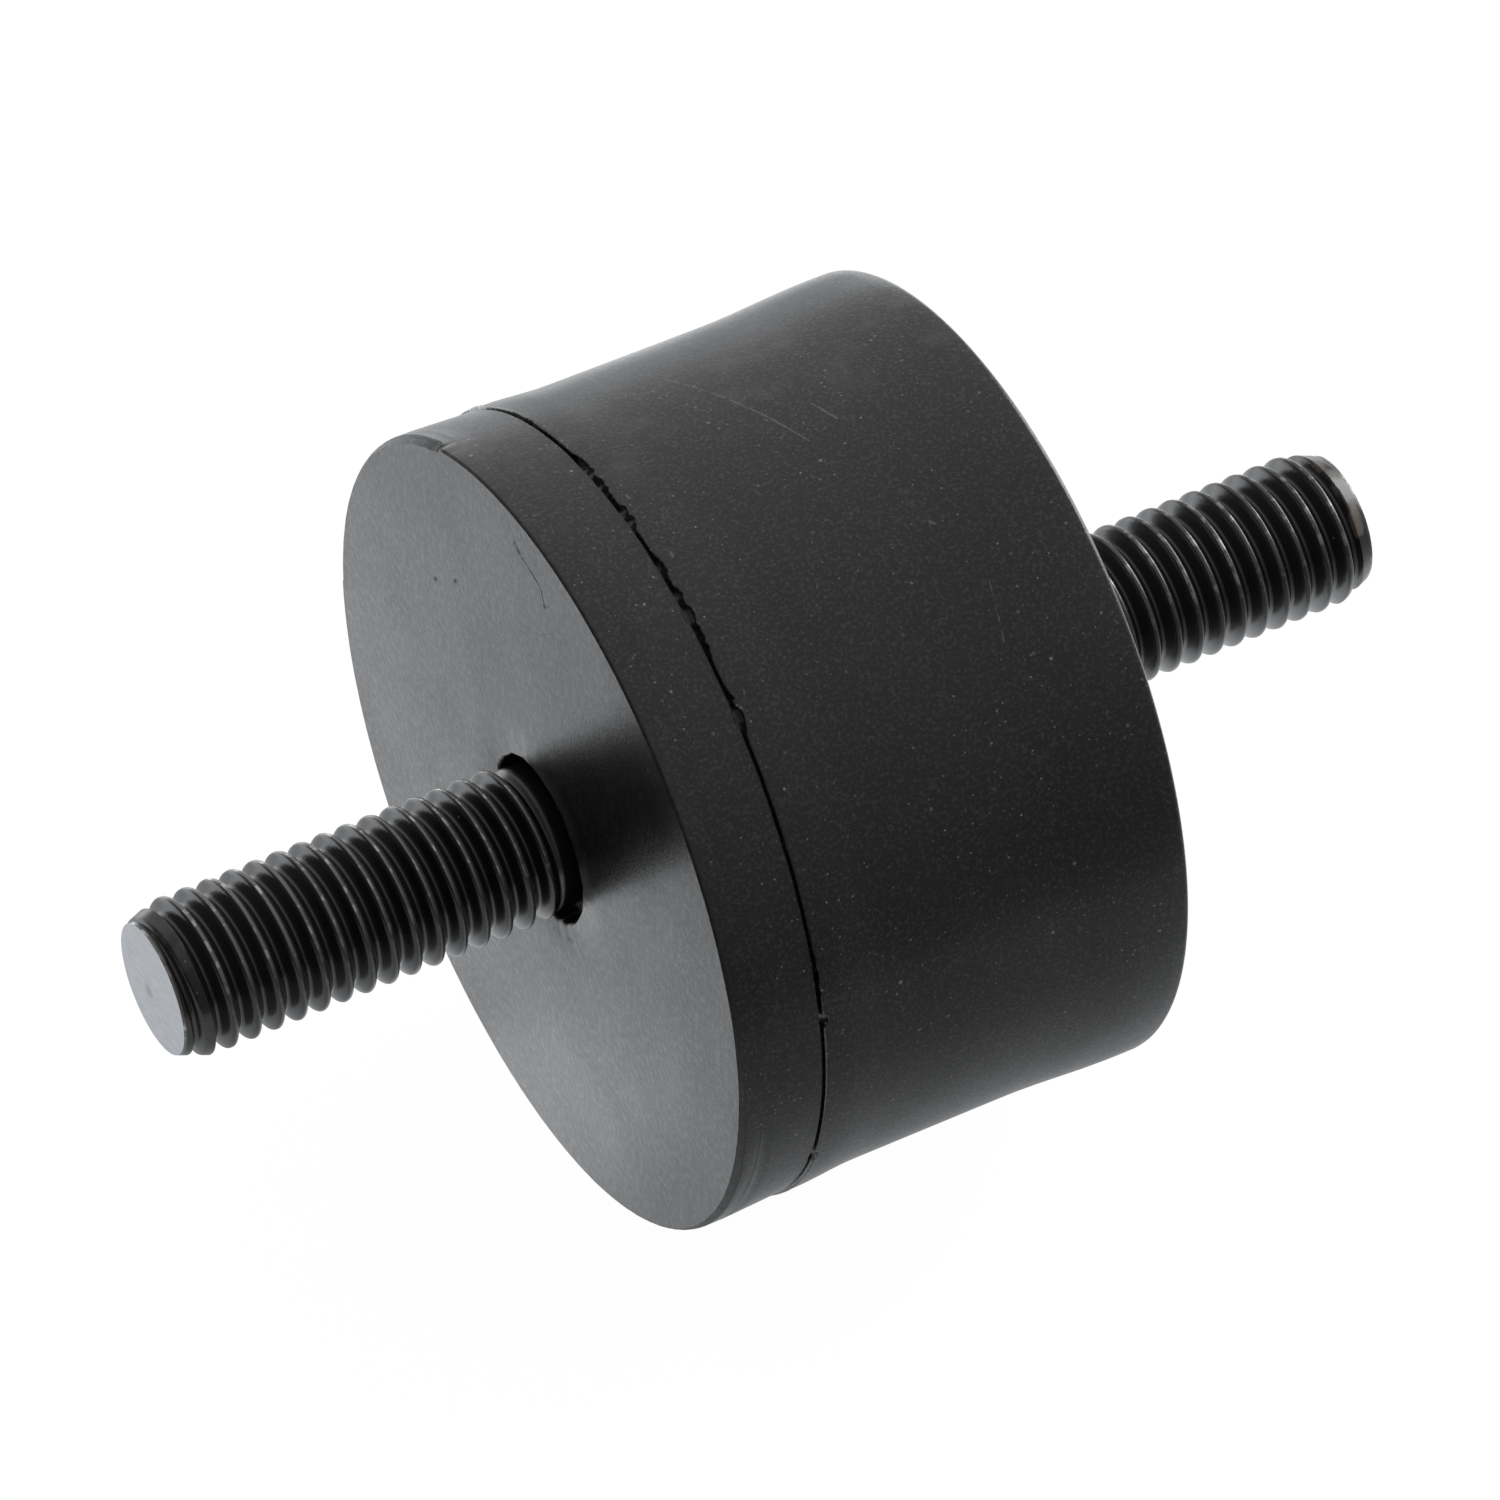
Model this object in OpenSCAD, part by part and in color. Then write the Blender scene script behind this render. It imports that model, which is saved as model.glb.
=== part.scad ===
// Rubber metal buffer with a stud at each end, in millimetres.
// The axis lies along X, the front stud points to -X and the origin is the middle of the rubber.
// Every piece is a body of revolution: its section is drawn as radius across and height along
// the axis, with the rear end upwards, and is then spun and laid down along X.

/* [Rubber body] */
// Nominal diameter, measured over the parting-line flash
body_d = 50; // [44:0.5:70]
// Length between the two end faces
body_h = 30; // [26:0.5:60]
// Distance of the parting line from the front face
parting_line = 5.6; // [4.5:0.1:7]
// Height of the flash ridge above the collar's low end in front of it
flash_h = 0.22; // [0.2:0.01:0.4]
// Width of the flash ridge at its root
flash_w = 0.4; // [0.2:0.05:0.8]
// Height of the rubber just behind the flash above the collar's low end
step_h = 0.1; // [0.05:0.01:0.2]
// Depth of the waist below the collar's low end
waist_depth = 0.15; // [0.05:0.01:0.6]
// Length over which the side falls from the parting line to the waist
front_blend = 2.4; // [1.5:0.1:4]
// Length over which the side flares from the waist to the rear rim
rear_blend = 8; // [4:0.1:10]
// Height of the rear rim above the collar's low end
rear_h = 0.18; // [0.05:0.01:0.2]
// Length of the full rim at the rear end
rear_band = 1.2; // [0.8:0.1:2]
// Radius of the rear face's edge
rear_edge_r = 0.4; // [0.2:0.05:0.7]

/* [Front collar] */
// Height of the lip at the front face above the collar's low end at the parting line
lip_h = 0.17; // [0.05:0.01:0.2]
// Width of the lip, from the front face to the groove
lip_w = 1.2; // [1:0.05:1.6]
// Length along the axis of the lip's crowned edge, which meets the face at a crease
edge_w = 0.75; // [0.4:0.05:1]
// Height of the lip's crowned edge, from the crease to the lip
edge_h = 0.33; // [0.1:0.01:0.4]
// Depth of the groove behind the lip
groove_depth = 0.12; // [0.05:0.01:0.2]
// Width of the groove behind the lip
groove_w = 0.45; // [0.4:0.05:0.8]

/* [End plates] */
// Thickness of an end plate
plate_t = 3; // [2:0.25:5]
// Radius of a plate's rounded rim edges
plate_edge_r = 0.8; // [0.3:0.1:0.9]
// Thickness of the rubber over a plate's rim, below the nominal diameter
rim_cover = 2; // [1.5:0.1:4]
// Thickness of the rubber skin over a plate's face
skin_t = 1.5; // [1:0.1:2.5]

/* [Studs] */
// Outside diameter of the stud's thread
thread_d = 10; // [8:0.5:12]
// Length of a stud that stands out of its end face
stud_len = 25.2; // [15:0.1:60]
// Length of the lead-in cone on the free end of a stud
lead_len = 2.4; // [1:0.1:4]
// Depth of the lead-in cone, from the thread's crest to the edge of the end
lead_depth = 0.9; // [0.5:0.1:2]
// Length of plain shank that shows between the end face and the thread
neck_len = 1; // [0.5:0.1:3]
// Length over which the thread runs out into that shank
thread_runout = 0.5; // [0.3:0.05:2]
// Step from the thread's crest down to the plain shank
shank_step = 0.5; // [0.3:0.05:0.7]
// Diameter of the flat head against the plate's inner face
head_d = 18; // [16:0.5:24]
// Thickness of the head
head_t = 4; // [2:0.25:5]
// Radius of the head's inner edge
head_edge_r = 1; // [0.4:0.1:1.5]
// Gap between the thread and the hole in the rubber skin
skin_gap = 0.4; // [0.2:0.05:1]
// Radius of the edge of the hole in the skin
skin_edge_r = 0.2; // [0.1:0.05:0.8]

/* [Hidden] */
$fn = 180;
// Straight steps in which the side's radius eases from one band to the next
ease_steps = 8;

rubber_colour = [0.12, 0.12, 0.13];
plate_colour = [0.55, 0.56, 0.58];
stud_colour = [0.17, 0.17, 0.18];

// Radii, from the nominal diameter inwards
flash_r = body_d / 2;
collar_r = flash_r - flash_h;
lip_r = collar_r + lip_h;
step_r = collar_r + step_h;
waist_r = collar_r - waist_depth;
rear_r = collar_r + rear_h;
plate_r = flash_r - rim_cover;
thread_r = thread_d / 2;
shank_r = thread_r - shank_step;
head_r = head_d / 2;
skin_hole_r = thread_r + skin_gap;

// Heights along the axis: of the body, and of one end's plate and stud
rear_face = body_h / 2;
front_face = -rear_face;
parting_at = front_face + parting_line;
flash_top = parting_at + flash_w / 2;
flash_bottom = parting_at - flash_w / 2;
waist_start = flash_top + front_blend;
rear_band_start = rear_face - rear_band;
waist_end = rear_band_start - rear_blend;
groove_start = front_face + lip_w;
groove_end = groove_start + groove_w;
plate_outer = rear_face - skin_t;
plate_inner = plate_outer - plate_t;
head_inner = plate_inner - head_t;
neck_top = rear_face + neck_len;
thread_start = neck_top + thread_runout;
stud_tip = rear_face + stud_len;
lead_start = stud_tip - lead_len;

// Section of a plain cylinder between two heights
module column(radius, bottom, top) {
    translate([0, bottom])
        square([radius, top - bottom]);
}

// Points between two radii along a length of the side, on a curve that is level at both ends
function eased(from_r, to_r, start, length) = [
    for (step = [1 : ease_steps - 1])
        let (share = step / ease_steps)
            [
                from_r + (to_r - from_r) * (1 - cos(180 * share)) / 2,
                start + length * share
            ]
];

// What comes off a square outer corner at the origin, inside it and below it, to leave an arc
// that runs out level with the side. It is a quarter round where both lengths are the same, and
// otherwise meets the end face at a crease.
module corner_cut(along, across) {
    arc_r = (along * along + across * across) / (2 * across);
    difference() {
        translate([-across, -along])
            square([across, along]);
        translate([-arc_r, -along])
            circle(arc_r);
    }
}

// Section of the shallow round groove behind the lip
module groove_outline() {
    arc_r = (groove_w * groove_w / 4 + groove_depth * groove_depth) / (2 * groove_depth);
    translate([lip_r - groove_depth + arc_r, (groove_start + groove_end) / 2])
        circle(arc_r);
}

// Section of the rubber's outside, filled to the axis
module rubber_outline() {
    front_end = [
        [0, front_face],
        [lip_r, front_face],
        [lip_r, groove_end],
        [collar_r, flash_bottom],
        [flash_r, parting_at],
        [step_r, flash_top]
    ];
    waist = concat(
        eased(step_r, waist_r, flash_top, front_blend),
        [[waist_r, waist_start], [waist_r, waist_end]],
        eased(waist_r, rear_r, waist_end, rear_blend)
    );
    rear_end = [
        [rear_r, rear_band_start],
        [rear_r, rear_face],
        [0, rear_face]
    ];
    difference() {
        polygon(concat(front_end, waist, rear_end));
        groove_outline();
        translate([lip_r, front_face])
            mirror([0, 1])
                corner_cut(edge_w, edge_h);
        translate([rear_r, rear_face])
            corner_cut(rear_edge_r, rear_edge_r);
    }
}

// Section of the rear plate's disc, filled to the axis
module disc_outline() {
    difference() {
        column(plate_r, plate_inner, plate_outer);
        translate([plate_r, plate_outer])
            corner_cut(plate_edge_r, plate_edge_r);
        translate([plate_r, plate_inner])
            mirror([0, 1])
                corner_cut(plate_edge_r, plate_edge_r);
    }
}

// Section of the rear stud's head, flat against the plate
module head_outline() {
    difference() {
        column(head_r, head_inner, plate_inner);
        translate([head_r, head_inner])
            mirror([0, 1])
                corner_cut(head_edge_r, head_edge_r);
    }
}

// Section of the hole through the rubber skin, flared by its rounded edge
module skin_hole_outline() {
    column(skin_hole_r, plate_outer, rear_face);
    translate([skin_hole_r, rear_face])
        mirror([1, 0])
            corner_cut(skin_edge_r, skin_edge_r);
}

// Section of the room that the rubber leaves for one end's plate, head and shank
module insert_room() {
    disc_outline();
    head_outline();
    skin_hole_outline();
}

// Section of the rubber, moulded around both ends' inserts
module rubber_section() {
    difference() {
        rubber_outline();
        insert_room();
        mirror([0, 1])
            insert_room();
    }
}

// Section of the rear plate, with the hole that the shank fills
module plate_section() {
    difference() {
        disc_outline();
        column(shank_r, plate_inner, plate_outer);
    }
}

// Section of the rear stud: head, plain shank, thread at its outside diameter, and lead-in cone
module stud_section() {
    head_outline();
    column(shank_r, plate_inner, neck_top);
    polygon([
        [0, neck_top],
        [shank_r, neck_top],
        [thread_r, thread_start],
        [thread_r, lead_start],
        [thread_r - lead_depth, stud_tip],
        [0, stud_tip]
    ]);
}

// Spins a section and lays it along X, with its upper end to the rear
module spin_to_rear() {
    rotate([0, 90, 0])
        rotate_extrude()
            children();
}

// Spins a section and lays it along X, with its upper end to the front
module spin_to_front() {
    rotate([0, -90, 0])
        rotate_extrude()
            children();
}

module rubber_body() {
    color(rubber_colour)
        spin_to_rear()
            rubber_section();
}

module front_plate() {
    color(plate_colour)
        spin_to_front()
            plate_section();
}

module front_stud() {
    color(stud_colour)
        spin_to_front()
            stud_section();
}

module rear_plate() {
    color(plate_colour)
        spin_to_rear()
            plate_section();
}

module rear_stud() {
    color(stud_colour)
        spin_to_rear()
            stud_section();
}

rubber_body();
front_plate();
front_stud();
rear_plate();
rear_stud();
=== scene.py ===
"""Rubber metal buffer with a threaded stud at each end, dressed for its studio picture.

The axis lies along X and the front stud points to -X. Lengths are in metres, and angles round the
axis are counted from +Y towards +Z.
"""

import logging
import math
from collections.abc import Callable
from dataclasses import dataclass
from enum import Enum
from functools import reduce
from typing import NamedTuple

import bpy
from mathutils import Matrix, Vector, noise


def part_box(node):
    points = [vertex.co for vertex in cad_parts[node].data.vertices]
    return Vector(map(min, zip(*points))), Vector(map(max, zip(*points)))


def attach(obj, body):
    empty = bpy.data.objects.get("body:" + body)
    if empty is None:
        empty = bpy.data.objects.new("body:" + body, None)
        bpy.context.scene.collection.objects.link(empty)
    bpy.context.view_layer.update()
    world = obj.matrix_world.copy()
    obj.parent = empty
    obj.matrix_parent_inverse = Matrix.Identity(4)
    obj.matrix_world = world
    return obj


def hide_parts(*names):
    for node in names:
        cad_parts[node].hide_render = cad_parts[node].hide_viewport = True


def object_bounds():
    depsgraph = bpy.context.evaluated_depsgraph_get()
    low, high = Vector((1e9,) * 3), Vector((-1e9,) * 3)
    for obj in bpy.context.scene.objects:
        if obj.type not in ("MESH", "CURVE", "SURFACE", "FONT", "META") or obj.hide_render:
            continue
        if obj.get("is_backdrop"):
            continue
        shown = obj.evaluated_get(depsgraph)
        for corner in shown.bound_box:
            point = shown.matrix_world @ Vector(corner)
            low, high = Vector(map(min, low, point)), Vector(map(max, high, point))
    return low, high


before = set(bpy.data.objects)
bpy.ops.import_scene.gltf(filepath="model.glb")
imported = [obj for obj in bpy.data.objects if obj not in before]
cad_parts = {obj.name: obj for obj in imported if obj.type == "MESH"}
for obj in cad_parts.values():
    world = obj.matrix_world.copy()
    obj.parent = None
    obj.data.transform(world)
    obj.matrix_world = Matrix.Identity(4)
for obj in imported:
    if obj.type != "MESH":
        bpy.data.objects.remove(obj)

MM = 0.001
FULL_TURN = 2 * math.pi
WELD = 0.0005 * MM

Outline = list[tuple[float, float]]
Colour = tuple[float, float, float]
Place = tuple[float, float, float]
Rule = Callable[[float, float, float], tuple[float, float]]

log = logging.getLogger("buffer")


class End(Enum):
    """The two ends of the buffer, each with its direction along X."""

    FRONT = -1
    REAR = 1


def smoothstep(low: float, high: float, value: float) -> float:
    """Eases a value from 0 at low to 1 at high."""
    share = min(max((value - low) / (high - low), 0.0), 1.0)
    return share * share * (3 - 2 * share)


def ring_noise(angle: float, radius: float, size: float, seed: float) -> float:
    """Gives noise, about -1 to 1, with features of a size along a ring that meets itself again."""
    reach = radius / size
    return noise.noise(Vector((reach * math.cos(angle), reach * math.sin(angle), seed)))


class Noise(NamedTuple):
    """Size of a ring noise's features, and which of many such noises it is."""

    size: float
    seed: float


def bump_at(angle: float, middle: float, half_width: float) -> float:
    """Gives 1 at a middle angle, falling to 0 at a half width, both in degrees."""
    apart = (math.degrees(angle) - middle + 180) % 360 - 180
    return 1 - smoothstep(0, half_width, abs(apart))


def arc(centre: tuple[float, float], radius: float, start: float, stop: float, steps: int) -> Outline:
    """Gives a round stretch of a section, from a start to a stop angle in degrees, both ends included."""
    angles = [math.radians(start + (stop - start) * step / steps) for step in range(steps + 1)]
    return [(centre[0] + radius * math.cos(a), centre[1] + radius * math.sin(a)) for a in angles]


def between(start: tuple[float, float], stop: tuple[float, float], steps: int) -> Outline:
    """Gives the points inside a straight stretch of a section, without its ends."""
    shares = [step / steps for step in range(1, steps)]
    return [(start[0] + (stop[0] - start[0]) * s, start[1] + (stop[1] - start[1]) * s) for s in shares]


def eased(start: tuple[float, float], stop: tuple[float, float], steps: int) -> Outline:
    """Gives the points inside a stretch that leaves and arrives level with the axis."""
    straight = between((start[0], 0.0), (stop[0], math.pi), steps)
    return [(x, start[1] + (stop[1] - start[1]) * ((1 - math.cos(turn)) / 2)) for x, turn in straight]


class Bench:
    """Hand tools: what the pieces are drawn, spun, cut and finished with."""

    @staticmethod
    def clear() -> None:
        """Leaves edit mode and deselects everything."""
        if bpy.context.object is not None and bpy.context.object.mode != "OBJECT":
            bpy.ops.object.mode_set(mode="OBJECT")
        bpy.ops.object.select_all(action="DESELECT")

    @staticmethod
    def take(piece: bpy.types.Object) -> None:
        """Selects one piece and makes it the active one."""
        Bench.clear()
        piece.select_set(True)
        bpy.context.view_layer.objects.active = piece

    @staticmethod
    def draw(name: str, outline: Outline) -> bpy.types.Object:
        """Draws an open section in the XZ plane, by extruding one vertex from point to point.

        Args:
            name: Name of the new piece.
            outline: The section's points, as length along X and radius.

        Returns:
            The new piece, left in edit mode.
        """
        Bench.clear()
        bpy.ops.mesh.primitive_plane_add(size=MM, location=(0, 0, 0))
        piece = bpy.context.object
        piece.name = name
        piece.data.name = name
        bpy.ops.object.mode_set(mode="EDIT")
        bpy.ops.mesh.select_all(action="SELECT")
        bpy.ops.mesh.merge(type="CENTER")
        bpy.ops.transform.translate(value=(outline[0][0], 0, outline[0][1]))
        for here, there in zip(outline, outline[1:]):
            step = (there[0] - here[0], 0, there[1] - here[1])
            bpy.ops.mesh.extrude_region_move(TRANSFORM_OT_translate={"value": step})
        return piece

    @staticmethod
    def turn(piece: bpy.types.Object, steps: int, pitch: float = 0.0, turns: int = 1) -> None:
        """Turns the drawn section round the X axis and leaves the piece in edit mode.

        Args:
            piece: The drawn section.
            steps: Steps of one turn.
            pitch: How far one turn moves along X.
            turns: Number of turns.
        """
        bpy.ops.object.mode_set(mode="OBJECT")
        bpy.ops.object.modifier_add(type="SCREW")
        screw = piece.modifiers[-1]
        screw.axis = "X"
        screw.angle = FULL_TURN
        screw.screw_offset = pitch
        screw.iterations = turns
        screw.steps = steps
        screw.render_steps = steps
        screw.use_merge_vertices = True
        screw.merge_threshold = WELD
        bpy.ops.object.modifier_apply(modifier=screw.name)
        bpy.ops.object.mode_set(mode="EDIT")

    @staticmethod
    def close() -> None:
        """Merges doubled vertices, turns the faces outwards and leaves edit mode."""
        bpy.ops.mesh.select_all(action="SELECT")
        bpy.ops.mesh.remove_doubles(threshold=WELD)
        bpy.ops.mesh.normals_make_consistent(inside=False)
        bpy.ops.object.mode_set(mode="OBJECT")

    @staticmethod
    def reshape(piece: bpy.types.Object, rule: Rule) -> None:
        """Moves every vertex of a round piece along the axis and towards or away from it.

        Args:
            piece: The piece, in object mode.
            rule: Gives a vertex's new length and radius from its length, radius and angle.
        """
        for vertex in piece.data.vertices:
            angle = math.atan2(vertex.co.z, vertex.co.y)
            length, radius = rule(vertex.co.x, math.hypot(vertex.co.y, vertex.co.z), angle)
            vertex.co = (length, radius * math.cos(angle), radius * math.sin(angle))

    @staticmethod
    def cut(at: float, away: int) -> None:
        """Cuts the mesh across X, drops the side that lies away and leaves the cut edge selected."""
        bpy.ops.mesh.select_all(action="SELECT")
        bpy.ops.mesh.bisect(plane_co=(at, 0, 0), plane_no=(away, 0, 0), clear_outer=True, threshold=WELD)

    @staticmethod
    def pull(length: float, scale: float = 1.0) -> None:
        """Extrudes the selected edge loop by a length along X and scales its radius."""
        bpy.ops.mesh.extrude_region_move(TRANSFORM_OT_translate={"value": (length, 0, 0)})
        bpy.ops.transform.resize(value=(1, scale, scale), center_override=(0, 0, 0))

    @staticmethod
    def smooth(piece: bpy.types.Object, degrees: float) -> None:
        """Shades a piece smooth, but for edges sharper than an angle in degrees."""
        Bench.take(piece)
        bpy.ops.object.shade_smooth_by_angle(angle=math.radians(degrees))
        Bench.clear()


class Sheet:
    """Adds nodes to one node tree, so that a finish reads as a list of steps."""

    def __init__(self, tree: bpy.types.NodeTree) -> None:
        """Takes the node tree to add to."""
        self.tree = tree

    def feed(self, value: object, socket: bpy.types.NodeSocket) -> None:
        """Links a socket to an input, or sets the input where the value is plain.

        Args:
            value: An output socket, or a number, colour or vector.
            socket: The input socket.
        """
        if isinstance(value, bpy.types.NodeSocket):
            self.tree.links.new(value, socket)
        else:
            socket.default_value = value

    def add(self, kind: str, inputs: dict[str, object] | None = None, **options: object) -> bpy.types.Node:
        """Adds a node.

        Args:
            kind: Its type.
            inputs: Values or output sockets for its named inputs.
            options: Values for its own properties.

        Returns:
            The new node.
        """
        node = self.tree.nodes.new(kind)
        for name, value in options.items():
            setattr(node, name, value)
        for name, value in (inputs or {}).items():
            self.feed(value, node.inputs[name])
        return node

    def operate(self, kind: str, operation: str, values: tuple[object, ...]) -> bpy.types.Node:
        """Adds a Math or Vector Math node.

        Args:
            kind: Its type.
            operation: What it does.
            values: Numbers, vectors or output sockets, in order.

        Returns:
            The node.
        """
        node = self.add(kind, operation=operation)
        for value, socket in zip(values, node.inputs):
            self.feed(value, socket)
        return node

    def calc(self, operation: str, *values: object) -> bpy.types.NodeSocket:
        """Adds a Math node and gives its output."""
        return self.operate("ShaderNodeMath", operation, values).outputs[0]

    def vector(self, operation: str, *values: object) -> bpy.types.Node:
        """Adds a Vector Math node, whose outputs are Vector and Value."""
        return self.operate("ShaderNodeVectorMath", operation, values)

    def times(self, *values: object) -> bpy.types.NodeSocket:
        """Multiplies values with each other."""
        return reduce(lambda one, other: self.calc("MULTIPLY", one, other), values)

    def most(self, *values: object) -> bpy.types.NodeSocket:
        """Gives the largest of its values."""
        return reduce(lambda one, other: self.calc("MAXIMUM", one, other), values)

    def line(self, value: object, slope: float, start: object) -> bpy.types.NodeSocket:
        """Gives a value times a slope, plus a start."""
        return self.calc("MULTIPLY_ADD", value, slope, start)

    def less(self, value: object) -> bpy.types.NodeSocket:
        """Gives what a share leaves of 1."""
        return self.calc("SUBTRACT", 1.0, value)

    def split(self, vector: bpy.types.NodeSocket) -> bpy.types.bpy_prop_collection:
        """Gives a vector's X, Y and Z."""
        return self.add("ShaderNodeSeparateXYZ", {"Vector": vector}).outputs

    def relief(self, shader: bpy.types.Node, height: object, strength: float, depth: float) -> None:
        """Roughens a shader's surface by a height."""
        bump = self.add("ShaderNodeBump", {"Height": height, "Strength": strength, "Distance": depth})
        self.feed(bump.outputs["Normal"], shader.inputs["Normal"])

    def ease(self, value: object, low: object, high: object) -> bpy.types.NodeSocket:
        """Adds a smooth step from 0 at low to 1 at high."""
        wanted = {"Value": value, "From Min": low, "From Max": high}
        return self.add("ShaderNodeMapRange", wanted, interpolation_type="SMOOTHSTEP").outputs["Result"]

    def mix(self, share: object, first: object, second: object) -> bpy.types.NodeSocket:
        """Mixes two colours.

        Args:
            share: How much of the second one there is.
            first: Colour, or an output socket.
            second: Colour, or an output socket.

        Returns:
            The mixed colour's output.
        """
        node = self.add("ShaderNodeMix", data_type="RGBA")
        self.feed(share, node.inputs["Factor"])
        colours = [socket for socket in node.inputs if socket.type == "RGBA"]
        for value, socket in zip((first, second), colours):
            self.feed(value if isinstance(value, bpy.types.NodeSocket) else (*value, 1), socket)
        return next(socket for socket in node.outputs if socket.type == "RGBA")

    def speckle(self, place: object, per_metre: float, detail: float) -> bpy.types.NodeSocket:
        """Adds noise of about 0.5 on the whole, with so many features per metre."""
        wanted = {"Vector": place, "Scale": per_metre, "Detail": detail}
        return self.add("ShaderNodeTexNoise", wanted).outputs["Fac"]


class Effects:
    """Node groups for what more than one finish shows."""

    @staticmethod
    def start(name: str, inputs: dict[str, str], outputs: dict[str, str]) -> tuple[Sheet, dict, dict]:
        """Starts a shader node group.

        Args:
            name: Its name.
            inputs: Socket types by input name.
            outputs: Socket types by output name.

        Returns:
            A sheet for its nodes, its input sockets by name, and the sockets to feed by output name.
        """
        group = bpy.data.node_groups.new(name, "ShaderNodeTree")
        for label, kind in inputs.items():
            group.interface.new_socket(name=label, in_out="INPUT", socket_type=kind)
        for label, kind in outputs.items():
            group.interface.new_socket(name=label, in_out="OUTPUT", socket_type=kind)
        entry = group.nodes.new("NodeGroupInput")
        leave = group.nodes.new("NodeGroupOutput")
        return Sheet(group), dict(entry.outputs.items()), dict(leave.inputs.items())

    @staticmethod
    def dust() -> bpy.types.NodeTree:
        """Makes the group for pale specks that lie here and there.

        Returns:
            The group, with the inputs Place, Per Metre and Size and the output Mask.
        """
        number, point = "NodeSocketFloat", "NodeSocketVector"
        inputs = {"Place": point, "Per Metre": number, "Size": number}
        sheet, entry, leave = Effects.start("dust specks", inputs, {"Mask": number})
        cells = {"Vector": entry["Place"], "Scale": entry["Per Metre"], "Randomness": 1.0}
        speck = sheet.add("ShaderNodeTexVoronoi", cells, voronoi_dimensions="3D", feature="F1")
        pick = sheet.add("ShaderNodeSeparateColor", {"Color": speck.outputs["Color"]})
        own_size = sheet.times(entry["Size"], pick.outputs["Red"])
        reach = sheet.times(own_size, entry["Per Metre"])
        beyond = sheet.ease(speck.outputs["Distance"], sheet.times(reach, 0.6), reach)
        strength = sheet.less(beyond)
        sheet.feed(sheet.times(strength, pick.outputs["Green"]), leave["Mask"])
        return sheet.tree

    @staticmethod
    def grain() -> bpy.types.NodeTree:
        """Makes the group for fine grain and the slow cloudiness under it.

        Returns:
            The group, with the inputs Place, Fine and Coarse and the outputs Height and Cloud.
        """
        number, point = "NodeSocketFloat", "NodeSocketVector"
        inputs = {"Place": point, "Fine": number, "Coarse": number}
        sheet, entry, leave = Effects.start("moulded grain", inputs, {"Height": number, "Cloud": number})
        fine = sheet.speckle(entry["Place"], entry["Fine"], 2.0)
        coarse = sheet.speckle(entry["Place"], entry["Coarse"], 3.0)
        sheet.feed(fine, leave["Height"])
        sheet.feed(sheet.ease(coarse, 0.3, 0.7), leave["Cloud"])
        return sheet.tree

    @staticmethod
    def scratch() -> bpy.types.NodeTree:
        """Makes the group for one straight scratch, broken up along its length.

        Returns:
            The group, with the inputs Place, From, To and Width and the output Mask.
        """
        number, point = "NodeSocketFloat", "NodeSocketVector"
        inputs = {"Place": point, "From": point, "To": point, "Width": number}
        sheet, entry, leave = Effects.start("scratch", inputs, {"Mask": number})
        reach = sheet.vector("SUBTRACT", entry["Place"], entry["From"]).outputs["Vector"]
        whole = sheet.vector("SUBTRACT", entry["To"], entry["From"]).outputs["Vector"]
        along = sheet.vector("DOT_PRODUCT", reach, whole).outputs["Value"]
        length = sheet.vector("DOT_PRODUCT", whole, whole).outputs["Value"]
        share = sheet.calc("MINIMUM", sheet.most(sheet.calc("DIVIDE", along, length), 0.0), 1.0)
        foot = sheet.add("ShaderNodeVectorMath", {"Vector": whole, "Scale": share}, operation="SCALE")
        away = sheet.vector("DISTANCE", reach, foot.outputs["Vector"]).outputs["Value"]
        near = sheet.ease(away, entry["Width"], sheet.times(entry["Width"], 0.3))
        broken = sheet.ease(sheet.speckle(entry["Place"], 1700.0, 2.0), 0.36, 0.6)
        sheet.feed(sheet.times(near, broken), leave["Mask"])
        return sheet.tree


@dataclass(frozen=True)
class Shelf:
    """The shared effects, made once.

    Attributes:
        dust: Pale specks.
        grain: Fine grain and cloudiness.
        scratch: One straight scratch.
    """

    dust: bpy.types.NodeTree
    grain: bpy.types.NodeTree
    scratch: bpy.types.NodeTree

    def grains(self, sheet: Sheet, place: object, fine: float, coarse: float) -> bpy.types.Node:
        """Places grain and clouds in a finish, with so many of each per metre."""
        wanted = {"Place": place, "Fine": fine, "Coarse": coarse}
        return sheet.add("ShaderNodeGroup", wanted, node_tree=self.grain)

    def specks(self, sheet: Sheet, place: object, number: float, size: float) -> bpy.types.NodeSocket:
        """Places specks of a size in a finish, with so many per metre, and gives their mask."""
        wanted = {"Place": place, "Per Metre": number, "Size": size}
        return sheet.add("ShaderNodeGroup", wanted, node_tree=self.dust).outputs["Mask"]

    def line(self, sheet: Sheet, place: object, ends: list[Place], width: float) -> bpy.types.NodeSocket:
        """Places a scratch between two ends in a finish, and gives its mask."""
        wanted = {"Place": place, "From": ends[0], "To": ends[1], "Width": width}
        return sheet.add("ShaderNodeGroup", wanted, node_tree=self.scratch).outputs["Mask"]


def start_finish(
    name: str, inputs: dict[str, object]
) -> tuple[Sheet, bpy.types.Node, bpy.types.NodeSocket]:
    """Starts a material with one main shader and coordinates that stay with the piece.

    Args:
        name: The material's name.
        inputs: Plain values for the shader's own sockets.

    Returns:
        The sheet, the shader node and the coordinates. The material is the sheet's tree's owner.
    """
    material = bpy.data.materials.new(name)
    material.use_nodes = True
    sheet = Sheet(material.node_tree)
    shader = material.node_tree.nodes["Principled BSDF"]
    for label, value in inputs.items():
        sheet.feed(value, shader.inputs[label])
    return sheet, shader, sheet.add("ShaderNodeTexCoord").outputs["Object"]


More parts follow.
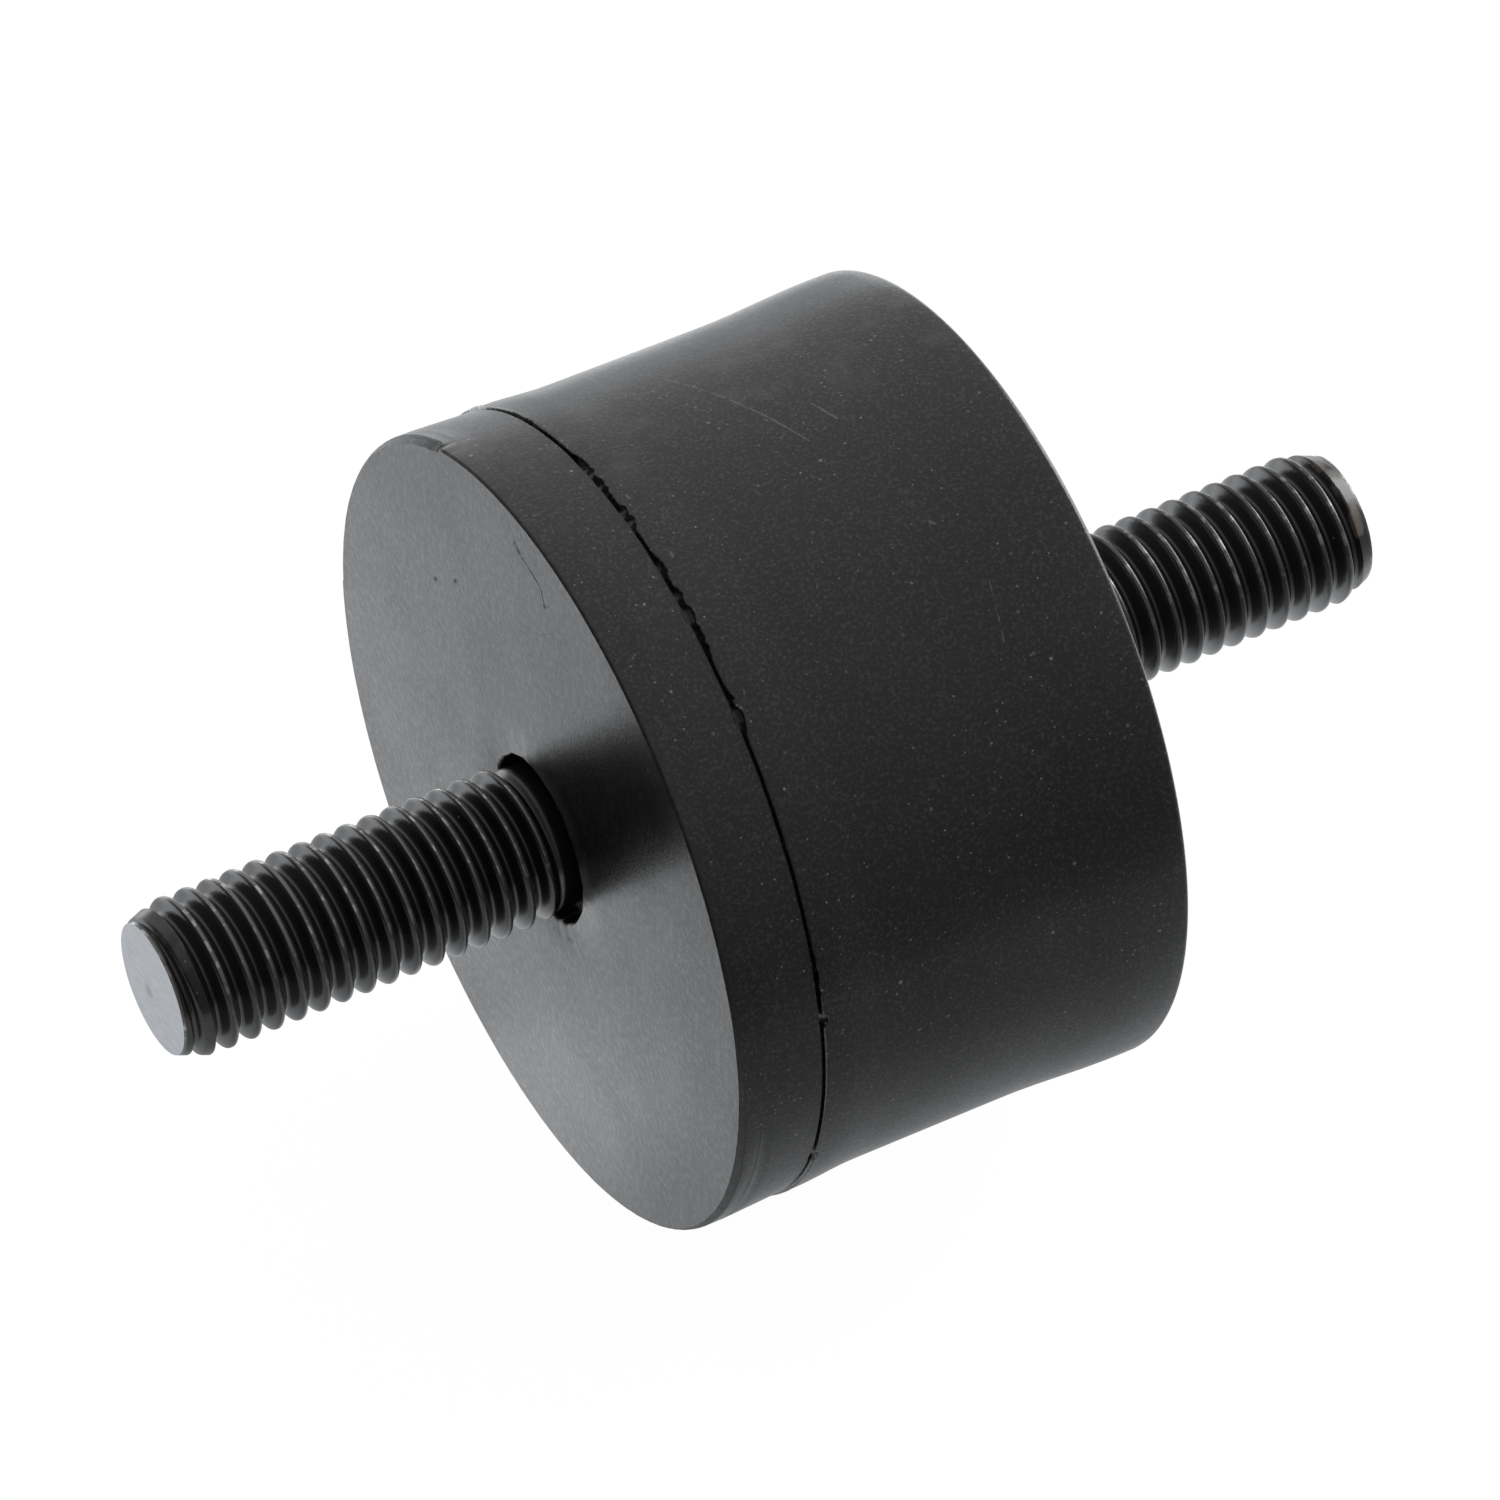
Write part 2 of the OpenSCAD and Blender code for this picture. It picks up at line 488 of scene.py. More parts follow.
@dataclass(frozen=True)
class Mark:
    """A scratch in the rubber, in millimetres and degrees.

    Attributes:
        start: One end: on the side, distance from the front face and angle; on the face, Y and Z.
        stop: The other end, alike.
        width: Its half width.
        pale: Whether it shows pale and not as a dull dark cut.
    """

    start: tuple[float, float]
    stop: tuple[float, float]
    width: float
    pale: bool = True


SIDE_MARKS = (
    Mark((14.1, 67.2), (16.2, 80.5), 0.11),
    Mark((16.2, 80.5), (17.95, 91.6), 0.1),
    Mark((19.65, 85.4), (20.3, 89.8), 0.1),
    Mark((23.1, 121.1), (22.45, 129.3), 0.06),
    Mark((21.5, 110.2), (21.7, 110.8), 0.14),
    Mark((29.2, 132.0), (29.3, 132.5), 0.12),
    Mark((28.8, 213.2), (28.9, 214.2), 0.2),
    Mark((6.45, 89.4), (6.5, 90.1), 0.12),
    Mark((6.7, 98.2), (6.75, 98.9), 0.1),
    Mark((6.7, 100.6), (6.65, 101.6), 0.12),
    Mark((6.6, 122.6), (6.6, 123.0), 0.12),
)
FACE_MARKS = (
    Mark((1.7, 22.75), (0.9, 22.4), 0.3, pale=False),
    Mark((0.9, 22.4), (-1.3, 21.9), 0.15, pale=False),
    Mark((-1.7, 20.7), (-2.2, 21.2), 0.26, pale=False),
    Mark((-1.3, 21.9), (-1.8, 20.8), 0.12, pale=False),
    Mark((2.1, 22.5), (0.5, 21.9), 0.15),
    Mark((1.1, 16.8), (-1.2, 17.9), 0.12),
    Mark((-1.2, 17.9), (-2.8, 19.5), 0.1),
    Mark((12.2, 10.8), (12.0, 11.0), 0.22, pale=False),
    Mark((9.6, 12.9), (9.4, 13.1), 0.22, pale=False),
    Mark((-2.0, -5.8), (-3.3, -5.6), 0.3),
    Mark((-3.3, -5.6), (-4.6, -4.6), 0.28),
)


@dataclass(frozen=True)
class MouldedRubber:
    """Black moulded rubber: a smooth glossy skin with fine grain, scratches and dust, and a painted sheen
    on its upper side.

    Attributes:
        front: Length along X of the front face.
        side_r: Radius of the side.
        name: Name of the material.
        deep: Colour of the darker clouds.
        bloomed: Colour of the paler clouds.
        grained: Colour of the fine grain's paler grains.
        painted_sheen: Colour of the painted sheen, in pale streaks along the upper side.
        scraped: Colour of a scratch.
        dusty: Colour of the specks.
        gloss: Roughness of the glossier clouds.
        dull: Roughness of the duller clouds.
        skin_rough: Roughness of the skin over them.
        index: Refractive index of both.
        side_grain: Grains per metre on the side.
        face_grain: Grains per metre on the front face, which is seen at a flat angle.
        clouds: Clouds per metre.
        specks: Dust, coarse and fine, as specks per metre and their size.
        trim_w: Width of the duller band where the front edge is trimmed.
        painted_sheen_way: Direction across the axis of the upper side, where the sheen is painted.
    """

    front: float
    side_r: float
    name: str = "moulded black rubber"
    deep: Colour = (0.0040, 0.0042, 0.0046)
    bloomed: Colour = (0.0075, 0.0075, 0.0080)
    grained: Colour = (0.050, 0.050, 0.051)
    painted_sheen: Colour = (0.070, 0.066, 0.066)
    scraped: Colour = (0.20, 0.195, 0.19)
    dusty: Colour = (0.50, 0.48, 0.44)
    gloss: float = 0.30
    dull: float = 0.38
    skin_rough: float = 0.24
    index: float = 1.6
    side_grain: float = 4600.0
    face_grain: float = 2000.0
    clouds: float = 160.0
    specks: tuple[tuple[float, float], ...] = ((1000.0, 0.17 * MM), (2300.0, 0.09 * MM))
    trim_w: float = 1.0 * MM
    painted_sheen_way: Place = (0.0, 0.42, 0.9075)

    def make(self, shelf: Shelf) -> bpy.types.Material:
        """Makes the material.

        Args:
            shelf: The shared effects.

        Returns:
            The material.
        """
        skin = {"IOR": self.index, "Coat IOR": self.index, "Coat Roughness": self.skin_rough}
        sheet, shader, place = start_finish(self.name, skin)
        fine = shelf.grains(sheet, place, self.side_grain, self.clouds)
        wide = shelf.grains(sheet, place, self.face_grain, self.clouds)
        cloud = fine.outputs["Cloud"]
        behind = sheet.ease(sheet.split(place)["X"], self.front + 0.05 * MM, self.front + 0.4 * MM)
        on_side = sheet.times(sheet.ease(fine.outputs["Height"], 0.46, 0.72), behind)
        on_face = sheet.times(sheet.ease(wide.outputs["Height"], 0.36, 0.84), sheet.less(behind))
        grains = sheet.calc("ADD", on_side, on_face)
        dust = self.dust(sheet, shelf, place, behind)
        scraped, cut, painted_sheen = self.marks(sheet, shelf, place)

        # Colour, from the ground up, with the painted sheen on the upper side
        layers = ((cloud, self.bloomed), (sheet.times(grains, 0.8), self.grained), (painted_sheen, self.painted_sheen),
                  (scraped, self.scraped), (dust, self.dusty))
        colour: object = self.deep
        for share, tone in layers:
            colour = sheet.mix(share, colour, tone)
        sheet.feed(colour, shader.inputs["Base Color"])

        # Gloss, which dust, scratches and cuts spoil
        spoilt = sheet.most(sheet.times(sheet.most(dust, scraped), 0.4), cut)
        sheen = sheet.line(cloud, self.dull - self.gloss, self.gloss)
        sheet.feed(sheet.line(spoilt, 0.3, sheen), shader.inputs["Roughness"])
        whole = sheet.less(sheet.times(spoilt, 0.8))
        mottled = sheet.line(grains, 0.40, 0.62)
        sheet.feed(sheet.times(whole, mottled), shader.inputs["Coat Weight"])
        sheet.relief(shader, fine.outputs["Height"], 0.7, 0.03 * MM)
        return bpy.data.materials[self.name]

    def dust(
        self, sheet: Sheet, shelf: Shelf, place: bpy.types.NodeSocket, behind: bpy.types.NodeSocket
    ) -> bpy.types.NodeSocket:
        """Strews dust in patches on the side, and little of it on the front face.

        Args:
            sheet: The material's sheet.
            shelf: The shared effects.
            place: The piece's own coordinates.
            behind: Mask of what lies behind the front face.

        Returns:
            The mask of the specks.
        """
        specks = [shelf.specks(sheet, place, number, size) for number, size in self.specks]
        patchy = sheet.ease(sheet.speckle(place, 120.0, 2.0), 0.32, 0.54)
        return sheet.times(sheet.most(*specks), patchy, sheet.line(behind, 0.8, 0.2))

    def marks(
        self, sheet: Sheet, shelf: Shelf, place: bpy.types.NodeSocket
    ) -> tuple[bpy.types.NodeSocket, bpy.types.NodeSocket, bpy.types.NodeSocket]:
        """Lays out the scratches, the trimmed front edge, and the painted sheen on the upper side.

        Args:
            sheet: The material's sheet.
            shelf: The shared effects.
            place: The piece's own coordinates.

        Returns:
            The masks of the pale scratches, of the dark cuts and of the painted sheen.
        """
        axes = sheet.split(place)
        across = sheet.add("ShaderNodeCombineXYZ", {"X": axes["Y"], "Y": axes["Z"]}).outputs["Vector"]
        radius = sheet.vector("LENGTH", across).outputs["Value"]
        turn = sheet.times(sheet.calc("ARCTAN2", axes["Z"], axes["Y"]), self.side_r)
        unrolled = sheet.add("ShaderNodeCombineXYZ", {"X": axes["X"], "Y": turn}).outputs["Vector"]
        on_side = sheet.ease(radius, self.side_r - 0.5 * MM, self.side_r - 0.2 * MM)
        on_face = sheet.ease(axes["X"], self.front + 0.2 * MM, self.front + 0.05 * MM)
        masks: dict[bool, object] = {True: 0.0, False: 0.0}
        for marks, flat, where in ((SIDE_MARKS, unrolled, on_side), (FACE_MARKS, across, on_face)):
            for mark in marks:
                ends = [self.spot(end, flat is unrolled) for end in (mark.start, mark.stop)]
                line = sheet.times(shelf.line(sheet, flat, ends, mark.width * MM), where)
                masks[mark.pale] = sheet.most(masks[mark.pale], line)
        lean = sheet.split(sheet.add("ShaderNodeNewGeometry").outputs["Normal"])["X"]
        near = sheet.ease(axes["X"], self.front + self.trim_w, self.front + 0.8 * self.trim_w)
        trimmed = sheet.times(sheet.ease(lean, -0.95, -0.85), sheet.ease(lean, -0.03, -0.14), near)
        cuts = sheet.most(masks[False], sheet.times(trimmed, 0.8))
        # Painted sheen: pale streaks along the upper side, where the light falls
        streak = sheet.ease(sheet.speckle(place, 330.0, 5.0), 0.50, 0.70)
        upper = sheet.vector("DOT_PRODUCT", place, self.painted_sheen_way).outputs["Value"]
        painted_sheen = sheet.times(streak, sheet.ease(upper, 0.88 * self.side_r, self.side_r), on_side)
        return masks[True], cuts, painted_sheen

    def spot(self, end: tuple[float, float], on_side: bool) -> Place:
        """Turns one end of a mark into flat coordinates.

        Args:
            end: The end, as the mark gives it.
            on_side: Whether it lies on the side and not on the face.

        Returns:
            Its place, in metres.
        """
        if on_side:
            return (self.front + end[0] * MM, math.radians(end[1]) * self.side_r, 0.0)
        return (end[0] * MM, end[1] * MM, 0.0)


@dataclass(frozen=True)
class BlackOxide:
    """Black oxide on rolled steel, worn bare on the crests and sheared bare at the ends, with painted
    highlights on the crests.

    Attributes:
        crest: Radius of the thread's crest.
        end: Radius of the free end.
        tip: Distance of the stud's ends from the middle.
        name: Name of the material.
        oxide: Colour of the black coat.
        rusted: Colour of the stained patches near the free end.
        bare: Colour of steel rubbed bare, used also for dust and for the painted highlights on the crests.
        sheared: Colour of the sheared end face.
        smudged: Colour of the smudge on that face.
        oxide_rough: Roughness of the coat.
        bare_rough: Roughness of bare steel.
        index: Refractive index of the coat.
        brushing: How often the shear's streaks repeat per metre, along X, Y and Z.
        smudge_at: Middle of the smudge.
        specks: Dust, as specks per metre and their size.
        grains: Fine grains and clouds per metre.
    """

    crest: float
    end: float
    tip: float
    name: str = "black oxide steel"
    oxide: Colour = (0.013, 0.013, 0.0134)
    rusted: Colour = (0.30, 0.25, 0.21)
    bare: Colour = (0.82, 0.80, 0.78)
    sheared: tuple[Colour, Colour] = ((0.78, 0.80, 0.84), (0.96, 0.97, 0.99))
    smudged: Colour = (0.45, 0.46, 0.49)
    oxide_rough: float = 0.24
    bare_rough: float = 0.34
    index: float = 1.9
    brushing: Place = (1.0, 900.0, 5200.0)
    smudge_at: Place = (0.0, 0.5 * MM, -0.6 * MM)
    specks: tuple[float, float] = (900.0, 0.09 * MM)
    grains: tuple[float, float] = (3800.0, 620.0)

    def make(self, shelf: Shelf) -> bpy.types.Material:
        """Makes the material.

        Args:
            shelf: The shared effects.

        Returns:
            The material.
        """
        sheet, shader, place = start_finish(self.name, {"IOR": self.index})
        axes = sheet.split(place)
        across = sheet.add("ShaderNodeCombineXYZ", {"Y": axes["Y"], "Z": axes["Z"]}).outputs["Vector"]
        radius = sheet.vector("LENGTH", across).outputs["Value"]
        reach = sheet.calc("ABSOLUTE", axes["X"])
        rear = sheet.ease(axes["X"], 0.0, MM)
        facing = sheet.split(sheet.add("ShaderNodeNewGeometry").outputs["Normal"])
        lean = facing["X"]

        # Wear on the upper shoulders of the crests and on the rims of the ends, less of it at the rear; on
        # the crests it is partly painted highlight, stronger where they face up
        on_crest = sheet.ease(radius, self.crest - 0.16 * MM, self.crest - 0.06 * MM)
        shoulder = sheet.times(sheet.ease(lean, -0.55, -0.3), sheet.ease(lean, 0.8, 0.55))
        # Painted highlight: the crests are made paler where they face up, towards the light
        upper = sheet.line(sheet.ease(facing["Z"], 0.2, 0.8), 0.86, 0.14)
        rim = sheet.ease(reach, self.tip - 0.22 * MM, self.tip - 0.1 * MM)
        rubbed = sheet.ease(sheet.speckle(place, 1100.0, 3.0), 0.47, 0.64)
        kept = sheet.times(rubbed, sheet.line(rear, -0.5, 1.0))
        broken = sheet.most(kept, sheet.line(rear, -0.32, 0.4))
        # worn: real wear on the crests and rims, plus painted highlight on the crests
        worn = sheet.times(sheet.most(sheet.times(on_crest, shoulder, upper), rim), broken)

        # The sheared end face, with a smudge near its middle
        flat = sheet.ease(sheet.calc("ABSOLUTE", lean), 0.93, 0.99)
        sheared = sheet.times(flat, sheet.ease(reach, self.tip - 0.05 * MM, self.tip - 0.01 * MM))
        streaks = sheet.vector("MULTIPLY", place, self.brushing).outputs["Vector"]
        steel = sheet.mix(sheet.ease(sheet.speckle(streaks, 1.0, 3.0), 0.3, 0.7), *self.sheared)
        apart = sheet.vector("DISTANCE", across, self.smudge_at).outputs["Value"]
        steel = sheet.mix(sheet.times(sheet.ease(apart, 0.8 * MM, 0.1 * MM), 0.6), steel, self.smudged)

        # Stains on the lead-in cone, more of them at the rear
        at_end = sheet.ease(reach, self.tip - 1.7 * MM, self.tip - 1.3 * MM)
        cone = sheet.times(at_end, sheet.ease(radius, self.end + 0.02 * MM, self.end + 0.2 * MM))
        blotch = sheet.ease(sheet.speckle(place, 620.0, 4.0), 0.48, 0.62)
        stain = sheet.times(cone, blotch, sheet.line(rear, 0.4, 0.25))

        # Colour, from the coat up
        dust = sheet.times(shelf.specks(sheet, place, *self.specks), 0.5)
        colour: object = self.oxide
        for share, tone in ((stain, self.rusted), (dust, self.bare), (worn, self.bare), (sheared, steel)):
            colour = sheet.mix(share, colour, tone)
        sheet.feed(colour, shader.inputs["Base Color"])
        bare = sheet.most(worn, sheared)
        sheet.feed(bare, shader.inputs["Metallic"])
        rough = sheet.line(bare, self.bare_rough - self.oxide_rough, self.oxide_rough)
        sheet.feed(sheet.line(stain, 0.25, rough), shader.inputs["Roughness"])
        grain = shelf.grains(sheet, place, *self.grains)
        sheet.relief(shader, grain.outputs["Height"], 0.3, 0.02 * MM)
        return bpy.data.materials[self.name]


@dataclass(frozen=True)
class PhosphatedSteel:
    """Grey phosphate on the plates, which the rubber bonds to.

    Attributes:
        name: Name of the material.
        pale: Colour of the paler crystals.
        dark: Colour of the darker crystals.
        rough: Roughness of the coat.
        grains: Fine grains and clouds per metre.
    """

    name: str = "phosphated steel"
    pale: Colour = (0.30, 0.30, 0.31)
    dark: Colour = (0.16, 0.16, 0.17)
    rough: float = 0.6
    grains: tuple[float, float] = (6000.0, 900.0)

    def make(self, shelf: Shelf) -> bpy.types.Material:
        """Makes the material.

        Args:
            shelf: The shared effects.

        Returns:
            The material.
        """
        sheet, shader, place = start_finish(self.name, {"Metallic": 0.6, "Roughness": self.rough})
        grain = shelf.grains(sheet, place, *self.grains)
        sheet.feed(sheet.mix(grain.outputs["Cloud"], self.dark, self.pale), shader.inputs["Base Color"])
        sheet.relief(shader, grain.outputs["Height"], 0.4, 0.02 * MM)
        return bpy.data.materials[self.name]


# The seam's section at the parting line, along the axis and up from the collar's low end, and how far
# along it reaches, in millimetres
SEAM = ((-0.40, 0.0), (-0.13, -0.01), (-0.09, -0.12), (-0.05, -0.34), (0.03, -0.34), (0.06, -0.10),
        (0.08, 0.06), (0.14, 0.10), (0.24, 0.105), (0.36, 0.10))
SEAM_REACH = 0.6
# Where the seam is torn open, and where its rear lip stands up: middle and half width, in degrees
TORN_PATCHES = ((81, 4), (87, 5), (93, 4), (103, 4), (109, 7), (114, 4), (125, 5), (170, 1.6), (199.5, 2),
                (42, 5))
RAISED_LIPS = ((42, 14), (208, 14))
# Noises round the axis: where the seam tears by chance, its jags, flakes and wandering, and the edges
TEARS = Noise(7 * MM, 3.0)
JAGS = Noise(0.36 * MM, 11.0)
FLAKES = Noise(0.9 * MM, 23.0)
WANDERING = Noise(5 * MM, 5.0)
EDGE_FLAWS = Noise(0.8 * MM, 41.0)
HOLE_FRAYS = Noise(0.8 * MM, 7.0)
# How far the seam wanders and shakes, and how far a torn place opens to the rear, in millimetres
WANDER = 0.04
SHAKE = 0.02
GAPE = 0.24
GAPE_RAGGED = 0.22
GAPE_MOST = 0.33
# Where the groove shows, as middle and half width, and where the front edge turns sharp and soft again,
# in degrees
GROOVE_SEEN = (203, 24)
SHARP_FROM = (61, 64)
SHARP_UNTIL = (160, 195)
# How far the holes sag, in which direction, how tight they are and how frayed, in millimetres and degrees
HOLE_SAG = 0.55
HOLE_SAG_AT = 150
HOLE_TIGHT = 0.12
HOLE_FRAYED = 0.14
# Nicks in the front edge: depth in millimetres, middle and half width in degrees
NICKS = ((0.09, 62.8, 0.9), (0.04, 108, 0.8))
# Where a thread's crest crosses the upper side of each stud, as a share of the pitch
CREST_AT = {End.FRONT: -0.06, End.REAR: 0.28}


@dataclass
class RubberBody:
    """The moulded cylinder: one skin round both plates and both stud heads.

    Attributes:
        node: The solid that it stands for.
        steps: Steps of one turn.
        parting_line: Distance of the parting line from the front face.
        flash_h: Height of the flash above the collar's low end.
        step_h: Height of the rubber just behind the flash above the collar's low end.
        waist_depth: Depth of the waist below the collar's low end.
        front_blend: Length over which the side falls to the waist.
        rear_blend: Length over which it flares to the rear rim.
        rear_h: Height of the rear rim above the collar's low end.
        rear_band: Length of the full rim at the rear.
        rear_edge_r: Radius of the rear face's edge.
        lip_h: Height of the front lip above the collar's low end.
        lip_w: Width of the front lip.
        edge_w: Length along the axis of the lip's crowned edge.
        edge_h: Height of that edge.
        groove_depth: Depth of the groove behind the lip.
        groove_w: Width of that groove.
        plate_edge_r: Radius of the plates' rims.
        head_edge_r: Radius of the stud heads' inner edges.
        hole_r: Radius of the hole in the skin, round the thread.
        hole_edge_r: Radius of that hole's edge.
        shank_r: Radius of the shank, which the rubber keeps clear of.
    """

    node: str = "rubber_body"
    steps: int = 1100
    parting_line: float = 5.6 * MM
    flash_h: float = 0.22 * MM
    step_h: float = 0.1 * MM
    waist_depth: float = 0.15 * MM
    front_blend: float = 4.6 * MM
    rear_blend: float = 8.0 * MM
    rear_h: float = 0.18 * MM
    rear_band: float = 1.2 * MM
    rear_edge_r: float = 0.4 * MM
    lip_h: float = 0.17 * MM
    lip_w: float = 1.2 * MM
    edge_w: float = 0.75 * MM
    edge_h: float = 0.33 * MM
    groove_depth: float = 0.12 * MM
    groove_w: float = 0.45 * MM
    plate_edge_r: float = 0.8 * MM
    head_edge_r: float = 1.0 * MM
    hole_r: float = 5.4 * MM
    hole_edge_r: float = 0.2 * MM
    shank_r: float = 4.5 * MM

    def __post_init__(self) -> None:
        """Reads the ends and the outside radius from the solid."""
        low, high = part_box(self.node)
        self.front = low.x
        self.rear = high.x
        self.flash_r = high.z
        self.collar_r = self.flash_r - self.flash_h
        self.parting_at = self.front + self.parting_line

    def room(self, end: End) -> Outline:
        """Draws the room for one end's head, plate and shank.

        Args:
            end: Which end.

        Returns:
            The section from the axis out to the edge of the hole in the skin.
        """
        way = end.value
        name = end.name.lower()
        plate_low, plate_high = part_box(f"{name}_plate")
        stud_low, stud_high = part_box(f"{name}_stud")
        plate_r, head_r = plate_high.z, stud_high.z
        head = min(abs(stud_low.x), abs(stud_high.x))
        inner = min(abs(plate_low.x), abs(plate_high.x))
        outer = max(abs(plate_low.x), abs(plate_high.x))
        face = abs(self.rear)
        rim_r, edge_r = plate_r - self.plate_edge_r, self.head_edge_r
        hole_top = (face - self.hole_edge_r, self.hole_r + self.hole_edge_r)
        points = [(head, 0.0)]
        points += arc((head + edge_r, head_r - edge_r), edge_r, 180, 90, 1)
        points += [(inner, head_r)]
        points += arc((inner + self.plate_edge_r, rim_r), self.plate_edge_r, 180, 90, 1)
        points += arc((outer - self.plate_edge_r, rim_r), self.plate_edge_r, 90, 0, 1)
        points += [(outer, self.hole_r)]
        points += arc(hole_top, self.hole_edge_r, 270, 360, 3)
        return [(way * length, radius) for length, radius in points]

    def side(self) -> Outline:
        """Draws the outside from the front face's edge to the rear face's edge.

        Returns:
            The section's points.
        """
        collar, lip, parting = self.collar_r, self.collar_r + self.lip_h, self.parting_at
        crown_r = (self.edge_w ** 2 + self.edge_h ** 2) / (2 * self.edge_h)
        crown_turn = math.degrees(math.asin(self.edge_w / crown_r))
        crown = (self.front + self.edge_w, lip - crown_r)
        groove_r = (self.groove_w ** 2 / 4 + self.groove_depth ** 2) / (2 * self.groove_depth)
        groove_turn = math.degrees(math.asin(self.groove_w / 2 / groove_r))
        groove = (self.front + self.lip_w + self.groove_w / 2, lip - self.groove_depth + groove_r)
        fall = (parting + 0.62 * MM, collar + self.step_h)
        waist_start = (parting + 0.4 * MM + self.front_blend, collar - self.waist_depth)
        rim_start = (self.rear - self.rear_band, collar + self.rear_h)
        waist_end = (rim_start[0] - self.rear_blend, collar - self.waist_depth)
        rear_turn = (self.rear - self.rear_edge_r, collar + self.rear_h - self.rear_edge_r)
        points = arc(crown, crown_r, 90 + crown_turn, 90, 5)
        points += arc(groove, groove_r, 270 - groove_turn, 270 + groove_turn, 5)
        torn = [(parting + along * MM, collar + up * MM) for along, up in SEAM]
        points += between(points[-1], torn[0], 4) + torn
        points += [fall] + eased(fall, waist_start, 5) + [waist_start]
        points += between(waist_start, waist_end, 3) + [waist_end]
        points += eased(waist_end, rim_start, 7) + [rim_start]
        points += arc(rear_turn, self.rear_edge_r, 90, 0, 4)
        return points

    def torn(self, angle: float) -> float:
        """Says how torn the flash is.

        Args:
            angle: Place round the axis.

        Returns:
            0 where it is a clean line, up to about 1 where it is torn.
        """
        by_hand = max(bump_at(angle, middle, half) for middle, half in TORN_PATCHES)
        by_chance = smoothstep(0.15, 0.6, ring_noise(angle, self.collar_r, *TEARS))
        return max(by_hand, 0.3 * by_chance)

    def tear(self, length: float, radius: float, angle: float) -> tuple[float, float]:
        """Opens the seam into a ragged crack with a torn rear lip.

        Args:
            length: A vertex's length along X.
            radius: Its radius.
            angle: Its angle.

        Returns:
            Its new length and radius.
        """
        along = (length - self.parting_at) / MM
        up = radius - self.collar_r
        if abs(along) > SEAM_REACH or up < -SEAM_REACH * MM:
            return length, radius
        torn = self.torn(angle)
        jag = ring_noise(angle, self.collar_r, *JAGS)
        flake = ring_noise(angle, self.collar_r, *FLAKES)
        slow = ring_noise(angle, self.collar_r, *WANDERING)
        length += (WANDER * slow + SHAKE * jag) * (1 - smoothstep(0.1, SEAM_REACH, abs(along))) * MM
        if along > 0.04:
            wide = min(torn * (GAPE + GAPE_RAGGED * flake + GAPE_RAGGED * jag), GAPE_MOST)
            length += max(wide, -0.02) * (1 - smoothstep(0.08, SEAM_REACH, along)) * MM
        elif along < -0.06:
            wide = torn * (0.05 + 0.10 * max(flake, 0.0) + 0.05 * jag)
            length -= max(wide, 0.0) * (1 - smoothstep(0.1, 0.39, -along)) * MM
        if 0 < along < 0.3 and up > 0:
            rim = max(bump_at(angle, middle, half) for middle, half in RAISED_LIPS)
            return length, radius + up * rim * (0.7 + 0.4 * jag)
        return length, radius

    def crisp(self, length: float, radius: float, angle: float) -> tuple[float, float]:
        """Sharpens the crowned front edge on the right-hand side, and leaves the groove at the bottom only.

        Args:
            length: A vertex's length along X.
            radius: Its radius.
            angle: Its angle.

        Returns:
            Its new length and radius.
        """
        behind = length - self.front
        lip = self.collar_r + self.lip_h
        if radius < self.collar_r - MM or behind > self.lip_w + self.groove_w + 0.05 * MM:
            return length, radius
        degrees = math.degrees(angle) % 360
        if behind > self.edge_w + 0.05 * MM:
            share = 0.06 + 0.74 * bump_at(angle, *GROOVE_SEEN)
            return length, lip - (lip - radius) * share
        softer = smoothstep(*SHARP_UNTIL, degrees)
        sharp = smoothstep(*SHARP_FROM, degrees) * (1 - softer)
        share = 1 - 0.72 * sharp - 0.25 * softer
        return self.front + behind * share, lip - (lip - radius) * share

    def nick(self, length: float, radius: float, angle: float) -> tuple[float, float]:
        """Gives the front edge its small nicks and its roughness.

        Args:
            length: A vertex's length along X.
            radius: Its radius.
            angle: Its angle.

        Returns:
            Its new length and radius.
        """
        behind = length - self.front
        if behind > self.edge_w or radius < self.collar_r - MM:
            return length, radius
        near = 1 - smoothstep(0.0, self.edge_w, behind)
        cut = sum(depth * bump_at(angle, middle, half) for depth, middle, half in NICKS)
        rough = 0.022 * ring_noise(angle, self.collar_r, *EDGE_FLAWS)
        return length, radius + (rough - cut) * near * MM

    def fray(self, length: float, radius: float, angle: float) -> tuple[float, float]:
        """Gives the hole in each skin its uneven edge.

        Args:
            length: A vertex's length along X.
            radius: Its radius.
            angle: Its angle.

        Returns:
            Its new length and radius.
        """
        near = 1 - smoothstep(self.hole_r + 0.1 * MM, self.hole_r + 1.2 * MM, radius)
        if near == 0 or abs(length) < self.rear - 1.6 * MM or radius < self.shank_r:
            return length, radius
        sag = HOLE_SAG * math.cos(angle - math.radians(HOLE_SAG_AT)) - HOLE_TIGHT
        frayed = HOLE_FRAYED * ring_noise(angle, self.hole_r, HOLE_FRAYS.size, HOLE_FRAYS.seed + length)
        room = self.shank_r + 0.25 * MM
        return length, max(radius + (sag + frayed) * near * MM, room)

    def build(self) -> bpy.types.Object:
        """Models the body.

        Returns:
            The finished piece.
        """
        front_room, rear_room, side = self.room(End.FRONT), self.room(End.REAR), self.side()
        outline = front_room + between(front_room[-1], side[0], 7) + side
        outline += between(side[-1], rear_room[-1], 7) + rear_room[::-1]
        body = Bench.draw("moulded_body", outline)
        Bench.turn(body, self.steps)
        Bench.close()
        for rule in (self.tear, self.crisp, self.nick, self.fray):
            Bench.reshape(body, rule)
        Bench.smooth(body, 42)
        return body

    def dress(self, body: bpy.types.Object, finish: bpy.types.Material) -> None:
        """Gives the body its finish and its place in the model.

        Args:
            body: The piece.
            finish: Its material.
        """
        body.data.materials.append(finish)
        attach(body, "root")
        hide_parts(self.node)


